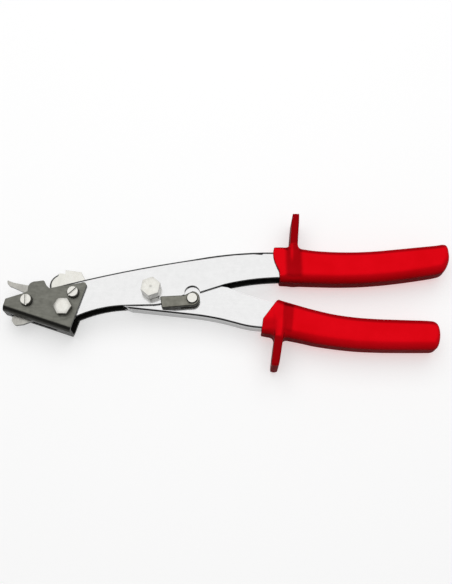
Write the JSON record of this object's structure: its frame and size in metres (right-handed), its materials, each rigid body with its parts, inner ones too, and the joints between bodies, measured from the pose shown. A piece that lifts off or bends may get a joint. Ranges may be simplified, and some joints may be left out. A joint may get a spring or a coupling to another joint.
{
  "type": "hand nibbler",
  "caption": "Plier-type sheet metal nibbler: two channel levers with red guarded grips, a slim hooked cutting blade worked through flat links, and a folded die head.",
  "frame": {"origin": "main pivot axis, in the plane of the nut faces that the tool rests on", "axes": "+X towards the grip ends, +Y towards the upper handle and the open side of the mouth, +Z out of the face with the bolt heads"},
  "size_m": [0.2782, 0.1, 0.0262],
  "materials": {
    "lever_chrome": "bright nickel chrome, lightly brushed",
    "red_grip": "soft moulded plastic, satin gloss",
    "dark_steel": "gunmetal grey, satin",
    "tool_steel": "ground tool steel",
    "bright_steel": "zinc-plated, slightly warm",
    "plain_steel": "turned, bare",
    "latch_steel": "grey-green phosphate",
    "spring_steel": "drawn wire"
  },
  "bodies": {
    "upper_handle": {"upper_lever": "lever_chrome", "upper_grip": "red_grip", "die_holder": "dark_steel", "front_die": "tool_steel", "rear_die": "tool_steel", "pivot_bolt": "bright_steel", "pivot_washer": "bright_steel", "pivot_nut": "bright_steel", "pivot_bush": "plain_steel", "head_bolt": "bright_steel", "head_nut": "bright_steel", "blade_spacers": "plain_steel", "die_screws": "bright_steel", "lock_washers": "dark_steel", "holder_screw": "bright_steel", "holder_nut": "bright_steel", "holder_tube": "plain_steel", "stop_pin": "plain_steel", "return_spring": "spring_steel"},
    "lower_handle": {"lower_lever": "lever_chrome", "lower_grip": "red_grip", "arm_pin": "plain_steel", "latch_pin": "bright_steel", "latch_ring": "dark_steel"},
    "blade": {"blade": "tool_steel", "blade_pin": "plain_steel"},
    "links": {"front_link": "bright_steel", "rear_link": "bright_steel"},
    "latch": {"latch": "latch_steel"}
  },
  "joints": [
    {"name": "lever_hinge", "type": "hinge", "parent": "upper_handle", "child": "lower_handle", "pos_m": [0, 0, 0.0114], "axis": [0, 0, 1], "range_deg": [0, 8.8], "stiffness_Nm_per_rad": 0.055, "springref_deg": -85.94, "deforming": ["return_spring"]},
    {"name": "blade_hinge", "type": "hinge", "parent": "upper_handle", "child": "blade", "pos_m": [-0.0538, -0.0116, 0.0114], "axis": [0, 0, 1], "range_deg": [0, 6.2]},
    {"name": "link_hinge", "type": "hinge", "parent": "lower_handle", "child": "links", "pos_m": [-0.0012, 0.0084, 0.0114], "axis": [0, 0, 1], "range_deg": [-8.9, 0]},
    {"name": "latch_hinge", "type": "hinge", "parent": "lower_handle", "child": "latch", "pos_m": [0.0254, -0.0061, 0.0184], "axis": [0, 0, 1], "range_deg": [0, 100]}
  ],
  "couplings": [
    {"joint": "blade_hinge", "follows": "lever_hinge", "ratio": 0.6944},
    {"joint": "link_hinge", "follows": "lever_hinge", "ratio": -1}
  ]
}
